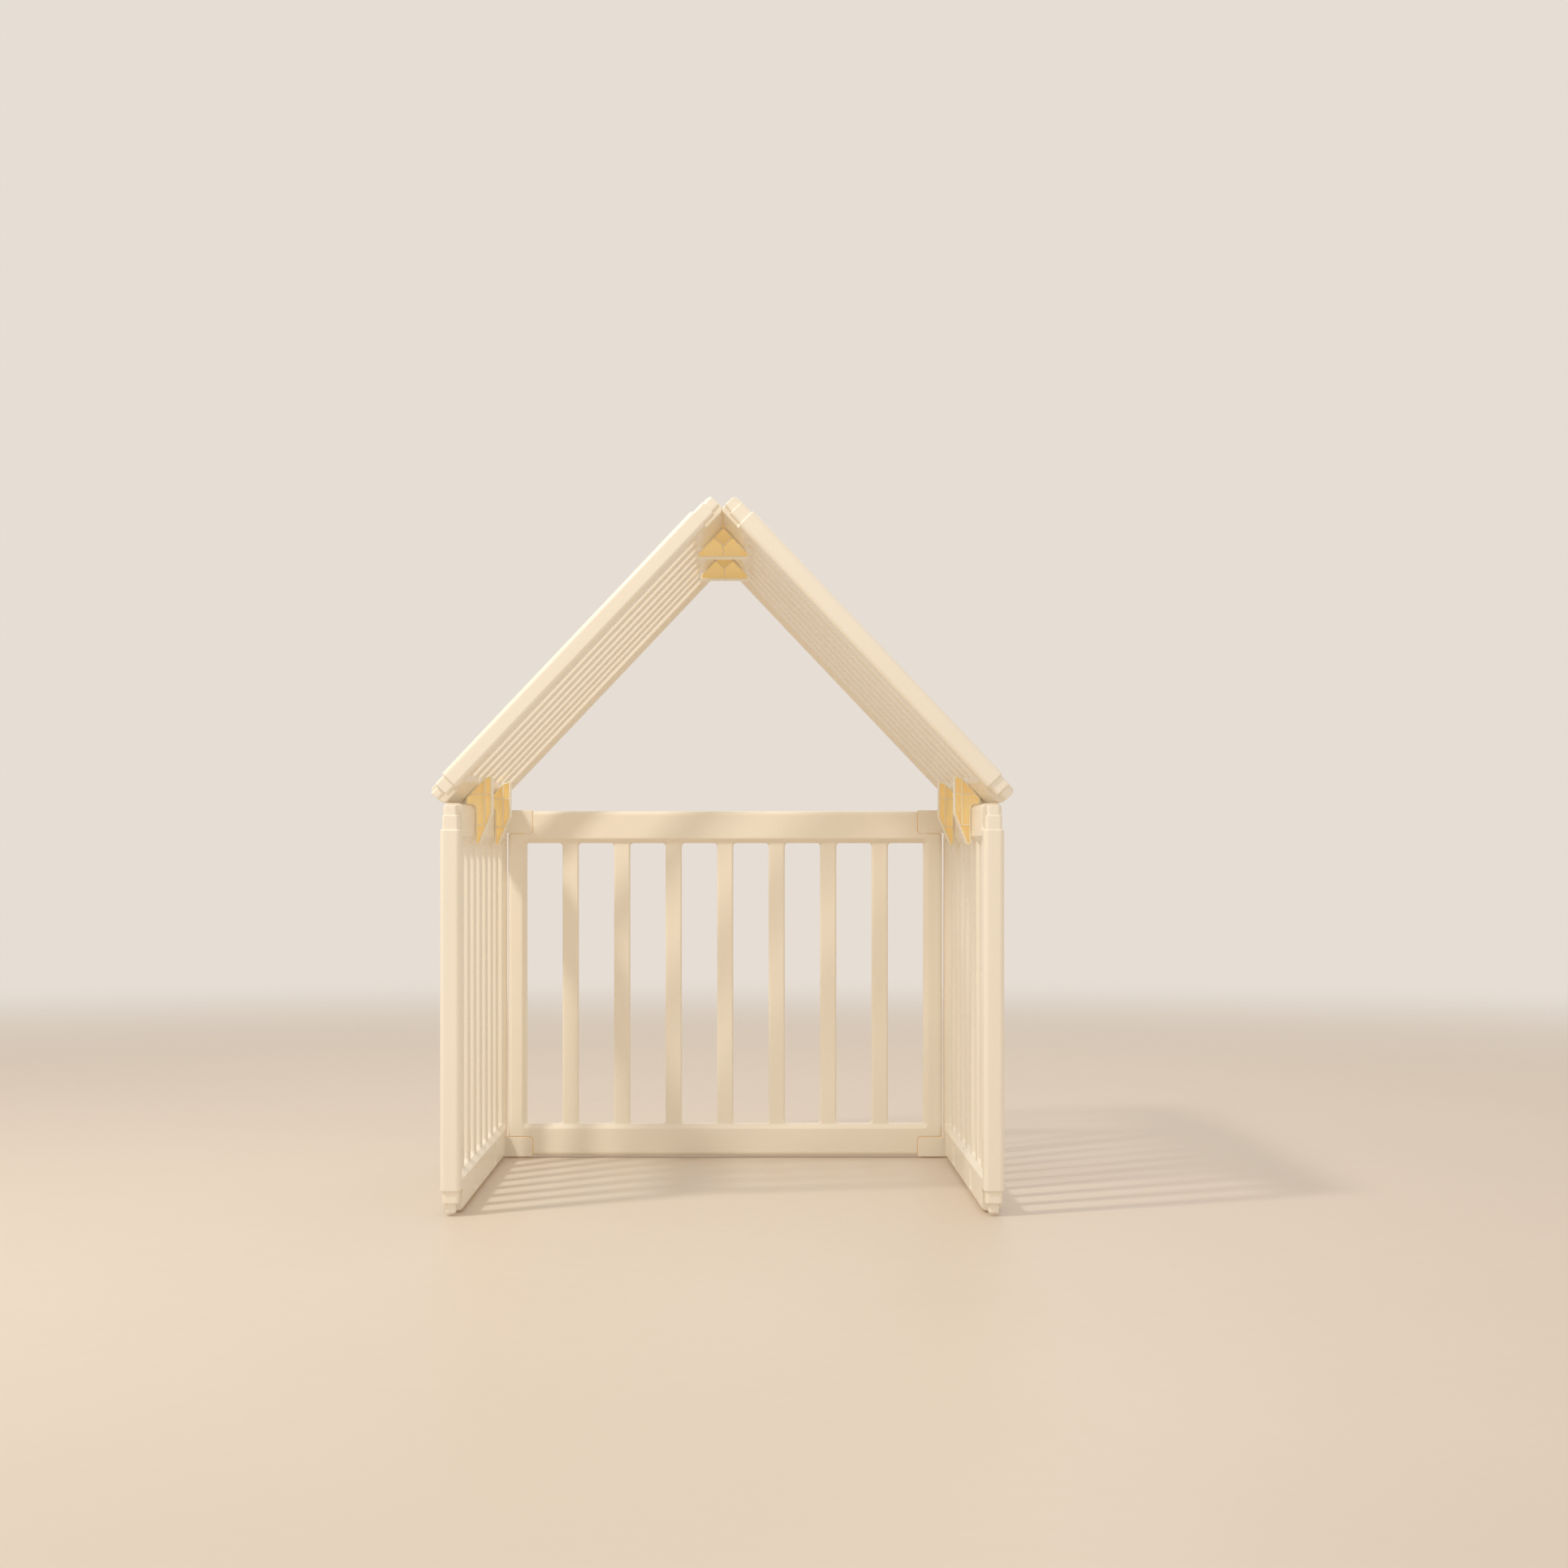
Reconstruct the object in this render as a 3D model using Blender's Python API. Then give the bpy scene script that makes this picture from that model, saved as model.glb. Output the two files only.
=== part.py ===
"""House-shaped playpen: five alike slatted panels, corner couplers, roof brackets and pads.

Metres, +Z up. The floor is z = 0, the open front faces -Y, and X = 0 is the plane of the ridge.
"""

import math

import bmesh
import bpy
from mathutils import Matrix, Vector

# Panel. The same moulding makes the back, both walls and both roof slopes.
PANEL_W = 0.756
PANEL_H = 0.600
PANEL_T = 0.030
EDGE_R = 0.0075          # rounding of the outer edges
STILE = 0.0325           # end member, from the panel's end to the first gap
RAIL = 0.0555            # top and bottom member, from the edge to the gaps
SLATS = 7
SLAT_W = 0.0282
SLAT_T = 0.016
GAP_CORNER_R = 0.006     # corners of the gaps between slats
LEDGE = 0.001            # flat strip between a gap and the sloping border around the slats

# Corner notches with the stepped pegs
NOTCH_W = 0.043
NOTCH_TOP = 0.039
NOTCH_BOTTOM = 0.033
NOTCH_R = 0.006
COLLAR_W = 0.024
COLLAR_R = 0.0045        # corners of a free peg's square collar
COLLAR_TOP = 0.0181      # from the panel's top edge down to the collar's end
STUB_TOP = 0.0037
STUB_TOP_W = 0.019
COLLAR_BOTTOM = 0.0153   # from the panel's bottom edge up to the collar's end
STUB_BOTTOM = 0.0014
STUB_BOTTOM_W = 0.015
STUB_R = 0.004

# Bracket sockets in the rails
SOCKET_W = 0.034
SOCKET_H = 0.034
SOCKET_DEPTH = 0.002
SOCKET_R = 0.005
SOCKET_INSET = 0.0255    # from the rail's outer edge to the socket's centre
SOCKET_X = 0.155         # from the panel's middle

# House
FLOOR_GAP = 0.0035       # under the panels
WALL_GAP = 0.0035        # between the back panel's end and a wall's inner face
ROOF_PITCH = math.radians(46.5)
ROOF_LIFT = 0.0022       # the brackets hold the slopes this far above the walls
CLEARANCE = 0.0003       # between pieces that touch

# Corner couplers
COUPLER_GROOVE = 0.0007  # shadow line around the coupler in the back panel's notch
COUPLER_PROUD = 0.0018   # above the top edge, below the bottom edge
COUPLER_R = 0.0055       # the one rounded corner, towards the panel's middle
BORE_R = COLLAR_W / 2 + CLEARANCE

# Roof brackets
BRACKET_DEPTH = 0.030
BRACKET_RIM = 0.0022
BRACKET_RIB = 0.0020
BRACKET_WEB = 0.003
RIB_SETBACK = 0.0006     # of the first rib behind the rim, and a step more for each other one
RIB_STEP = 0.0003
PLUG_W = 0.026
PLUG_PROUD = 0.0016      # how far a plug reaches into its socket
PLUG_INSET = 0.003       # in from the socket's ends
PLUG_ROOT = 0.75         # how deep a plug starts in the rim, as a share of the rim

EAVE_LEG = 0.060         # down the wall from its top edge
EAVE_FOOT_W = 0.006
EAVE_REACH = 0.0255      # in from the wall's face
EAVE_BEND = 0.0125       # below the wall's top edge
EAVE_HEAD = 0.0465       # above the wall's top edge
EAVE_SEAT_IN = 0.0135    # where the head leaves the slope, in from the wall's face
EAVE_SEAT_OUT = 0.0145   # outer tip, over the wall's top edge
EAVE_RIB_X = 0.014
EAVE_RIB_HIGH = 0.0176
EAVE_RIB_LOW = -0.0296

RIDGE_HALF_W = 0.039
RIDGE_LIP = 0.007        # upright side between the slope and the bottom flange
RIDGE_DIAMOND = 0.0145   # half width of the diamond under the tip
RIDGE_DIAMOND_Z = 0.030  # depth of its lowest point below the crease

# Pads on the floor, under the lower couplers and the walls' free ends
PAD_L = 0.040
PAD_W = 0.014
PAD_R = 0.003
PAD_Y = 0.310            # a wall's pad, from the panel's middle

IVORY = (0.80, 0.70, 0.54, 1.0)
WARM_IVORY = (0.78, 0.62, 0.38, 1.0)
PALE_RUBBER = (0.62, 0.55, 0.45, 1.0)

# Places that follow from the sizes above
GAP_W = (PANEL_W - 2 * STILE - SLATS * SLAT_W) / (SLATS + 1)
PEG_X = PANEL_W / 2 - PANEL_T / 2
WALL_X = PANEL_W / 2 + WALL_GAP + PANEL_T / 2
WALL_FACE = WALL_X - PANEL_T / 2
WALL_TOP = FLOOR_GAP + PANEL_H
BACK_Y = PANEL_W / 2 - PANEL_T / 2
COS = math.cos(ROOF_PITCH)
SIN = math.sin(ROOF_PITCH)
TAN = math.tan(ROOF_PITCH)


def eave_corner():
    """Sharp inner eave corner of a slope.

    The slopes meet at X = 0, and stand ROOF_LIFT higher than where they would touch the walls.
    All these edges are rounded by EDGE_R.
    """
    ridge_x = CLEARANCE / 2 - EDGE_R * (COS + SIN - 1)
    eave_x = ridge_x + PANEL_H * COS
    wall_arc = Vector((WALL_X + PANEL_T / 2 - EDGE_R, WALL_TOP - EDGE_R))
    roof_arc_x = eave_x + EDGE_R * (SIN - COS)
    reach = 2 * EDGE_R + CLEARANCE
    roof_arc_z = wall_arc.y + math.sqrt(reach ** 2 - (roof_arc_x - wall_arc.x) ** 2)
    return eave_x, roof_arc_z - EDGE_R * (SIN + COS) + ROOF_LIFT


EAVE_X, EAVE_Z = eave_corner()


def slope_z(x, off=0.0):
    """Height of the right slope's inner face at x, moved down by off along its normal."""
    return EAVE_Z + (EAVE_X - x) * TAN - off / COS


def slope_point(up, out):
    """Point of the right slope: up from its eave corner, and out from its inner face."""
    return EAVE_X - up * COS + out * SIN, EAVE_Z + up * SIN + out * COS


def clear_scene():
    for obj in list(bpy.data.objects):
        bpy.data.objects.remove(obj, do_unlink=True)


def make_collection(name):
    collection = bpy.data.collections.new(name)
    bpy.context.scene.collection.children.link(collection)
    return collection


def make_material(name, colour, roughness):
    material = bpy.data.materials.new(name)
    material.use_nodes = True
    shader = material.node_tree.nodes["Principled BSDF"]
    shader.inputs["Base Color"].default_value = colour
    shader.inputs["Roughness"].default_value = roughness
    shader.inputs["Metallic"].default_value = 0.0
    material.diffuse_color = colour
    return material


def add_block(bm, low, high, radius=0.0, segments=2, along=None):
    """Add a box between two corners; round all its edges, or only those along one axis."""
    low, high = Vector(low), Vector(high)
    size = high - low
    place = Matrix.Translation((low + high) / 2) @ Matrix.Diagonal((*size, 1.0))
    corners = bmesh.ops.create_cube(bm, size=1.0, matrix=place)["verts"]
    edges = {edge for corner in corners for edge in corner.link_edges}
    if along is not None:
        edges = {e for e in edges if abs((e.verts[0].co - e.verts[1].co)[along]) > size[along] / 2}
    if radius:
        edges = sorted(edges, key=lambda edge: edge.index)
        bmesh.ops.bevel(bm, geom=edges, offset=radius, segments=segments, profile=0.5,
                        affect="EDGES")


def add_cylinder(bm, radius, x, y, low, high, segments=24):
    place = Matrix.Translation((x, y, (low + high) / 2))
    bmesh.ops.create_cone(bm, cap_ends=True, segments=segments, radius1=radius, radius2=radius,
                          depth=high - low, matrix=place)


def solid(name, bm):
    """Turn a bmesh into an object."""
    bm.edges.index_update()
    mesh = bpy.data.meshes.new(name)
    bm.to_mesh(mesh)
    bm.free()
    obj = bpy.data.objects.new(name, mesh)
    WORKSHOP.objects.link(obj)
    return obj


def block(name, low, high, radius=0.0, segments=2, along=None):
    bm = bmesh.new()
    add_block(bm, low, high, radius, segments, along)
    return solid(name, bm)


def evaluated_mesh(obj):
    depsgraph = bpy.context.evaluated_depsgraph_get()
    return bpy.data.meshes.new_from_object(obj.evaluated_get(depsgraph))


def combine(target, tool, operation):
    """Apply a Boolean of two solids to the target, and drop the tool."""
    modifier = target.modifiers.new("combine", "BOOLEAN")
    modifier.operation = operation
    modifier.solver = "EXACT"
    modifier.object = tool
    mesh = evaluated_mesh(target)
    target.modifiers.clear()
    target.data = mesh
    bpy.data.objects.remove(tool, do_unlink=True)
    return target


def cut(target, tool):
    return combine(target, tool, "DIFFERENCE")


def join(target, tool):
    return combine(target, tool, "UNION")


def rounded(corners, radii, steps=3):
    """Replace each corner by an arc, no larger than its sides leave room for.

    A corner that turns inwards has a negative radius, and a sharp one a radius of 0.
    """
    points = []
    count = len(corners)
    for i, (corner, radius) in enumerate(zip(corners, radii)):
        here = Vector(corner)
        if radius == 0:
            points.append(here)
            continue
        before = Vector(corners[i - 1]) - here
        after = Vector(corners[(i + 1) % count]) - here
        half = before.angle(after) / 2
        radius = min(abs(radius), 0.45 * math.tan(half) * min(before.length, after.length))
        before.normalize()
        after.normalize()
        centre = here + (before + after).normalized() * radius / math.sin(half)
        start = here + before * radius / math.tan(half) - centre
        turn = start.angle_signed(here + after * radius / math.tan(half) - centre)
        points += [centre + Matrix.Rotation(-turn * k / steps, 2) @ start for k in range(steps + 1)]
    return points


def inset(corners, distance):
    """Move every side of a counter-clockwise outline inwards."""
    moved = []
    count = len(corners)
    for i in range(count):
        here = Vector(corners[i])
        along_in = (here - Vector(corners[i - 1])).normalized()
        along_out = (Vector(corners[(i + 1) % count]) - here).normalized()
        normal_in = Vector((-along_in.y, along_in.x))
        normal_out = Vector((-along_out.y, along_out.x))
        middle = (normal_in + normal_out).normalized()
        moved.append(here + middle * distance / middle.dot(normal_in))
    return moved


def prism(name, points, low_y, high_y):
    """Extrude an outline in the XZ plane between two depths."""
    curve = bpy.data.curves.new(name, "CURVE")
    curve.dimensions = "2D"
    curve.fill_mode = "BOTH"
    curve.extrude = (high_y - low_y) / 2
    spline = curve.splines.new("POLY")
    spline.points.add(len(points) - 1)
    for target, point in zip(spline.points, points):
        target.co = (point[0], point[1], 0.0, 1.0)
    spline.use_cyclic_u = True
    outline = bpy.data.objects.new(name, curve)
    WORKSHOP.objects.link(outline)
    mesh = evaluated_mesh(outline)
    bpy.data.objects.remove(outline, do_unlink=True)
    bm = bmesh.new()
    bm.from_mesh(mesh)
    bmesh.ops.remove_doubles(bm, verts=bm.verts, dist=0.00001)
    stand = Matrix.Translation((0, (low_y + high_y) / 2, 0)) @ Matrix.Rotation(math.pi / 2, 4, "X")
    bmesh.ops.transform(bm, matrix=stand, verts=bm.verts)
    bmesh.ops.recalc_face_normals(bm, faces=bm.faces)
    return solid(name, bm)


def bar(name, start, end, thickness, low_y, high_y):
    """A straight rib between two points of the XZ plane."""
    start, end = Vector(start), Vector(end)
    side = (end - start).normalized().orthogonal() * thickness / 2
    return prism(name, [start - side, end - side, end + side, start + side], low_y, high_y)


def panel_border(side):
    """Tool for the recess around the slats, with a sloping border, on one face."""
    recess = (PANEL_T - SLAT_T) / 2
    slope = recess + LEDGE
    half_w = PANEL_W / 2 - STILE + LEDGE + slope
    low_z = RAIL - LEDGE - slope
    faces = sorted((side * SLAT_T / 2, side * (PANEL_T / 2 + 3 * slope)))
    return block("border", (-half_w, faces[0], low_z), (half_w, faces[1], PANEL_H - low_z),
                 slope, segments=1)


def panel_gaps():
    """Tool for the gaps between the slats."""
    bm = bmesh.new()
    for i in range(SLATS + 1):
        left = -PANEL_W / 2 + STILE + i * (GAP_W + SLAT_W)
        add_block(bm, (left, -PANEL_T, RAIL), (left + GAP_W, PANEL_T, PANEL_H - RAIL),
                  GAP_CORNER_R, segments=2, along=1)
    return solid("gaps", bm)


def panel_notches():
    """Tool for the four corner notches."""
    bm = bmesh.new()
    for side in (-1, 1):
        inner = side * (PANEL_W / 2 - NOTCH_W)
        outer = side * (PANEL_W / 2 + NOTCH_W)
        xs = sorted((inner, outer))
        add_block(bm, (xs[0], -PANEL_T, PANEL_H - NOTCH_TOP), (xs[1], PANEL_T, PANEL_H + NOTCH_TOP),
                  NOTCH_R, along=1)
        add_block(bm, (xs[0], -PANEL_T, -NOTCH_BOTTOM), (xs[1], PANEL_T, NOTCH_BOTTOM),
                  NOTCH_R, along=1)
    return solid("notches", bm)


def panel_sockets():
    """Tool for the bracket sockets in both rails of the +Y face."""
    bm = bmesh.new()
    for x in (-SOCKET_X, SOCKET_X):
        for z in (SOCKET_INSET, PANEL_H - SOCKET_INSET):
            add_block(bm, (x - SOCKET_W / 2, PANEL_T / 2 - SOCKET_DEPTH, z - SOCKET_H / 2),
                      (x + SOCKET_W / 2, PANEL_T, z + SOCKET_H / 2), SOCKET_R, along=1)
    return solid("sockets", bm)


def peg(x, notch_z, collar_z, stub_z, stub_w, held):
    """Stepped peg that stands on a post's end: a collar, then a square stub.

    The collar is round where a coupler's eye holds it, and square where it is free.
    """
    out = math.copysign(PANEL_T / 4, collar_z - notch_z)
    collar = sorted((notch_z - out, collar_z))
    half = COLLAR_W / 2
    if held:
        bm = bmesh.new()
        add_cylinder(bm, half, x, 0, collar[0], collar[1])
        obj = solid("collar", bm)
    else:
        obj = block("collar", (x - half, -half, collar[0]), (x + half, half, collar[1]),
                    COLLAR_R, along=2)
    stub = sorted((collar_z - out / 2, stub_z))
    return join(obj, block("stub", (x - stub_w / 2, -stub_w / 2, stub[0]),
                           (x + stub_w / 2, stub_w / 2, stub[1]), STUB_R, segments=1, along=2))


def make_panel_mesh(held_ends=()):
    """Panel in its own frame: X along its width, +Y the socket face, Z up from its bottom edge.

    held_ends are the ends, -1 or 1 along X, whose pegs sit in couplers.
    """
    panel = block("panel", (-PANEL_W / 2, -PANEL_T / 2, 0), (PANEL_W / 2, PANEL_T / 2, PANEL_H),
                  EDGE_R, segments=3)
    for side in (-1, 1):
        cut(panel, panel_border(side))
    for tool in (panel_gaps(), panel_notches(), panel_sockets()):
        cut(panel, tool)
    for end in (-1, 1):
        held = end in held_ends
        join(panel, peg(end * PEG_X, PANEL_H - NOTCH_TOP, PANEL_H - COLLAR_TOP,
                        PANEL_H - STUB_TOP, STUB_TOP_W, held))
        join(panel, peg(end * PEG_X, NOTCH_BOTTOM, COLLAR_BOTTOM, STUB_BOTTOM, STUB_BOTTOM_W, held))
    return take_mesh(panel)


def take_mesh(obj):
    """Shade a finished shape, keep its mesh and drop its object."""
    mesh = obj.data
    mesh.shade_smooth()
    mesh.set_sharp_from_angle(angle=math.radians(40))
    bpy.data.objects.remove(obj, do_unlink=True)
    return mesh


def make_coupler_mesh(side, upper):
    """Corner coupler: fills a notch of the back panel and ends in an eye over the wall's peg."""
    if upper:
        low, high = WALL_TOP - NOTCH_TOP + COUPLER_GROOVE, WALL_TOP + COUPLER_PROUD
        bore = (low - NOTCH_TOP, WALL_TOP - STUB_TOP + CLEARANCE)
    else:
        low, high = FLOOR_GAP - COUPLER_PROUD, FLOOR_GAP + NOTCH_BOTTOM - COUPLER_GROOVE
        bore = (FLOOR_GAP + STUB_BOTTOM - CLEARANCE, high + NOTCH_BOTTOM)
    inner = side * (PANEL_W / 2 - NOTCH_W + COUPLER_GROOVE)
    outer = side * WALL_X
    corners = [(inner, low), (inner, high), (outer, high), (outer, low)]
    radii = [COUPLER_R, 0, 0, 0] if upper else [0, COUPLER_R, 0, 0]
    obj = prism("coupler", rounded(corners, radii), BACK_Y - PANEL_T / 2, BACK_Y + PANEL_T / 2)
    bm = bmesh.new()
    add_cylinder(bm, PANEL_T / 2, outer, BACK_Y, low, high, segments=32)
    join(obj, solid("eye", bm))
    bm = bmesh.new()
    for x in (side * PEG_X, outer):
        add_cylinder(bm, BORE_R, x, BACK_Y, bore[0], bore[1], segments=24)
    cut(obj, solid("bores", bm))
    return take_mesh(obj)


def make_tray(name, corners, radii, y):
    """Outline with a rim and a middle web, open towards the front and the back."""
    low, high = y - BRACKET_DEPTH / 2, y + BRACKET_DEPTH / 2
    tray = prism(name, rounded(corners, radii), low, high)
    inner_radii = [0 if 0 < radius <= BRACKET_RIM else radius - BRACKET_RIM for radius in radii]
    pocket = rounded(inset(corners, BRACKET_RIM), inner_radii)
    cut(tray, prism("front_pocket", pocket, low - BRACKET_RIM, y - BRACKET_WEB / 2))
    cut(tray, prism("rear_pocket", pocket, y + BRACKET_WEB / 2, high + BRACKET_RIM))
    return tray


def add_ribs(tray, ribs, y):
    for i, (start, end) in enumerate(ribs):
        half = BRACKET_DEPTH / 2 - RIB_SETBACK - i * RIB_STEP
        join(tray, bar("rib", start, end, BRACKET_RIB, y - half, y + half))
    return tray


def slope_plug(y, start, end):
    """Plug into the right slope's inner face, between two distances up the slope."""
    root = -CLEARANCE - BRACKET_RIM * PLUG_ROOT
    corners = [slope_point(start, root), slope_point(end, root),
               slope_point(end, PLUG_PROUD), slope_point(start, PLUG_PROUD)]
    return prism("plug", corners, y - PLUG_W / 2, y + PLUG_W / 2)


def make_eave_bracket_mesh(side, y):
    """Bracket between a wall's top rail and the lower rail of its slope."""
    face = WALL_FACE - CLEARANCE
    top = WALL_TOP + CLEARANCE
    reach = face - EAVE_REACH
    seat_in = WALL_FACE - EAVE_SEAT_IN
    seat_out = WALL_FACE + EAVE_SEAT_OUT
    corners = [
        (face, WALL_TOP - EAVE_LEG),
        (face, top),
        (seat_out, top),
        (seat_out, slope_z(seat_out, CLEARANCE)),
        (seat_in, slope_z(seat_in, CLEARANCE)),
        (reach, WALL_TOP + EAVE_HEAD),
        (reach, WALL_TOP - EAVE_BEND),
        (face - EAVE_FOOT_W, WALL_TOP - EAVE_LEG),
    ]
    radii = [0.001, -0.005, 0.0015, 0.0015, 0.003, 0.002, 0.020, 0.0015]
    tray = make_tray("eave_bracket", corners, radii, y)
    rib_x = face - EAVE_RIB_X
    middle = BRACKET_RIM / 2
    high_z = WALL_TOP + EAVE_RIB_HIGH
    low_z = WALL_TOP + EAVE_RIB_LOW
    high_end = EAVE_X - (high_z - EAVE_Z) / TAN - middle / SIN
    low_share = (EAVE_LEG + EAVE_RIB_LOW) / (EAVE_LEG - EAVE_BEND)
    low_end = face - EAVE_FOOT_W - (EAVE_REACH - EAVE_FOOT_W) * low_share + middle
    ribs = [
        ((rib_x, low_z), (rib_x, slope_z(rib_x, CLEARANCE + middle))),
        ((reach + middle, high_z), (high_end, high_z)),
        ((low_end, low_z), (face - middle, low_z)),
    ]
    add_ribs(tray, ribs, y)
    plug_z = WALL_TOP - SOCKET_INSET
    half = SOCKET_H / 2 - PLUG_INSET
    join(tray, block("plug", (face - BRACKET_RIM * PLUG_ROOT, y - PLUG_W / 2, plug_z - half),
                     (WALL_FACE + PLUG_PROUD, y + PLUG_W / 2, plug_z + half)))
    plug_start = (EAVE_X - seat_out) / COS + PLUG_INSET
    join(tray, slope_plug(y, plug_start, SOCKET_INSET + half))
    if side < 0:
        mirror(tray)
    return take_mesh(tray)


def mirror(obj):
    """Flip a shape to the left side, faces still pointing out."""
    bm = bmesh.new()
    bm.from_mesh(obj.data)
    bmesh.ops.scale(bm, vec=(-1, 1, 1), verts=bm.verts)
    bmesh.ops.reverse_faces(bm, faces=bm.faces)
    bm.to_mesh(obj.data)
    bm.free()


def make_ridge_bracket_mesh(y):
    """Bracket under the ridge: it seats on both slopes and plugs into the right one."""
    crease = slope_z(0, CLEARANCE)
    shoulder = slope_z(RIDGE_HALF_W, CLEARANCE)
    foot = shoulder - RIDGE_LIP
    corners = [
        (0, crease),
        (-RIDGE_HALF_W, shoulder),
        (-RIDGE_HALF_W, foot),
        (RIDGE_HALF_W, foot),
        (RIDGE_HALF_W, shoulder),
    ]
    tray = make_tray("ridge_bracket", corners, [0.006, 0.0015, 0.001, 0.001, 0.0015], y)
    low_point = (0, crease - RIDGE_DIAMOND_Z)
    rise = slope_z(RIDGE_DIAMOND, CLEARANCE + BRACKET_RIM / 2)
    ribs = [
        (low_point, (-RIDGE_DIAMOND, rise)),
        (low_point, (RIDGE_DIAMOND, rise)),
        ((0, foot + BRACKET_RIM / 2), (0, crease - RIDGE_DIAMOND_Z + BRACKET_RIB / 2)),
    ]
    add_ribs(tray, ribs, y)
    middle = PANEL_H - SOCKET_INSET
    half = SOCKET_H / 2 - PLUG_INSET
    join(tray, slope_plug(y, middle - half, middle + half))
    return take_mesh(tray)


def make_pad_mesh(height):
    """Pad on the floor, its long side along X."""
    return take_mesh(block("pad", (-PAD_L / 2, -PAD_W / 2, 0), (PAD_L / 2, PAD_W / 2, height),
                           PAD_R, along=2))


def add_hinge(name, side):
    """Empty on the upright axis through a wall's rear pegs."""
    empty = bpy.data.objects.new(name, None)
    empty.location = (side * WALL_X, BACK_Y, 0)
    empty.empty_display_size = 0.05
    PLAYPEN.objects.link(empty)
    return empty


def add_part(name, mesh, colour, roughness, place=None, hinge=None):
    """Give a shape its node name, its own material, its place and its hinge."""
    place = place or Matrix.Identity(4)
    own = mesh.copy()
    own.name = name
    own.materials.clear()
    own.materials.append(make_material(name + "_finish", colour, roughness))
    obj = bpy.data.objects.new(name, own)
    PLAYPEN.objects.link(obj)
    if hinge:
        obj.parent = hinge
        pivot = Matrix.Translation(hinge.location)
        own.transform(pivot.inverted() @ place)
    else:
        obj.matrix_world = place
    return obj


def build_panels(hinges):
    stand = Matrix.Translation((0, BACK_Y, FLOOR_GAP))
    add_part("back_wall_panel", make_panel_mesh((-1, 1)), IVORY, 0.42, stand)
    slope_panel = make_panel_mesh()
    for word, side in (("left", -1), ("right", 1)):
        turn = Matrix.Rotation(side * math.pi / 2, 4, "Z")
        stand = Matrix.Translation((side * WALL_X, 0, FLOOR_GAP)) @ turn
        wall_panel = make_panel_mesh((side,))
        add_part(word + "_wall_panel", wall_panel, IVORY, 0.42, stand, hinges[side])
        lean = Matrix.Rotation(-side * (math.pi / 2 - ROOF_PITCH), 4, "Y")
        seat = Matrix.Translation((0, -PANEL_T / 2, 0))
        slope = Matrix.Translation((side * EAVE_X, 0, EAVE_Z)) @ lean @ turn @ seat
        add_part(word + "_roof_panel", slope_panel, IVORY, 0.42, slope, hinges[side])


def build_couplers():
    for word, side in (("left", -1), ("right", 1)):
        for level, upper in (("upper", True), ("lower", False)):
            mesh = make_coupler_mesh(side, upper)
            add_part(f"back_{word}_{level}_coupler", mesh, IVORY, 0.45)


def build_brackets(hinges):
    for place, y in (("front", -SOCKET_X), ("rear", SOCKET_X)):
        for word, side in (("left", -1), ("right", 1)):
            mesh = make_eave_bracket_mesh(side, y)
            add_part(f"{word}_{place}_eave_bracket", mesh, WARM_IVORY, 0.40, hinge=hinges[side])
        mesh = make_ridge_bracket_mesh(y)
        add_part(f"{place}_ridge_bracket", mesh, WARM_IVORY, 0.40, hinge=hinges[1])


def build_pads(hinges):
    under_coupler = make_pad_mesh(FLOOR_GAP - COUPLER_PROUD - CLEARANCE)
    under_wall = make_pad_mesh(FLOOR_GAP - CLEARANCE)
    for word, side in (("left", -1), ("right", 1)):
        place = Matrix.Translation((side * PEG_X, BACK_Y, 0))
        add_part(f"back_{word}_coupler_pad", under_coupler, PALE_RUBBER, 0.8, place)
        place = Matrix.Translation((side * WALL_X, -PAD_Y, 0)) @ Matrix.Rotation(math.pi / 2, 4, "Z")
        add_part(f"{word}_wall_pad", under_wall, PALE_RUBBER, 0.8, place, hinges[side])


clear_scene()
WORKSHOP = make_collection("workshop")
PLAYPEN = make_collection("playpen")
HINGES = {side: add_hinge(name, side) for name, side in (("left_hinge", -1), ("right_hinge", 1))}
build_panels(HINGES)
build_couplers()
build_brackets(HINGES)
build_pads(HINGES)
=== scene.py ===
"""Looks of the house-shaped playpen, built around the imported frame."""

import math

import bmesh
import bpy
from mathutils import Matrix, Vector


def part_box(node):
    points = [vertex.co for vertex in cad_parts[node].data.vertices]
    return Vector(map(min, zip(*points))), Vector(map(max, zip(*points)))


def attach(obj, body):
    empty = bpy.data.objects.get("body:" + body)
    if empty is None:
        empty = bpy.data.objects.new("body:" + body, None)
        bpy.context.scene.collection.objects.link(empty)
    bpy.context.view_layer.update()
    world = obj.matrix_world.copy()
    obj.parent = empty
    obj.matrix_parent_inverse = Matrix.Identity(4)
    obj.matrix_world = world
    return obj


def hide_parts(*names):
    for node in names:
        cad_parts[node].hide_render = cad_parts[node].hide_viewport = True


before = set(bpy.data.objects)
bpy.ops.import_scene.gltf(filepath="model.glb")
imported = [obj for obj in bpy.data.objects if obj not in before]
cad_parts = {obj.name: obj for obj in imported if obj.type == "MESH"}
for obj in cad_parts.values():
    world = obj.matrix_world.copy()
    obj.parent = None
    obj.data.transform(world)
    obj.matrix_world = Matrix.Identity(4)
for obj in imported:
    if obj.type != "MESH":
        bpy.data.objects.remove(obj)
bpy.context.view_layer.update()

SIDES = {"left": -1, "right": 1}
PANEL_LOW, PANEL_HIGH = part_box("back_wall_panel")
PANEL_W, PANEL_T, PANEL_H = PANEL_HIGH - PANEL_LOW
WALL_LOW, WALL_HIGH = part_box("right_wall_panel")
WALL_X = (WALL_LOW.x + WALL_HIGH.x) / 2
WALL_FACE = WALL_LOW.x
WALL_TOP = WALL_HIGH.z
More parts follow.
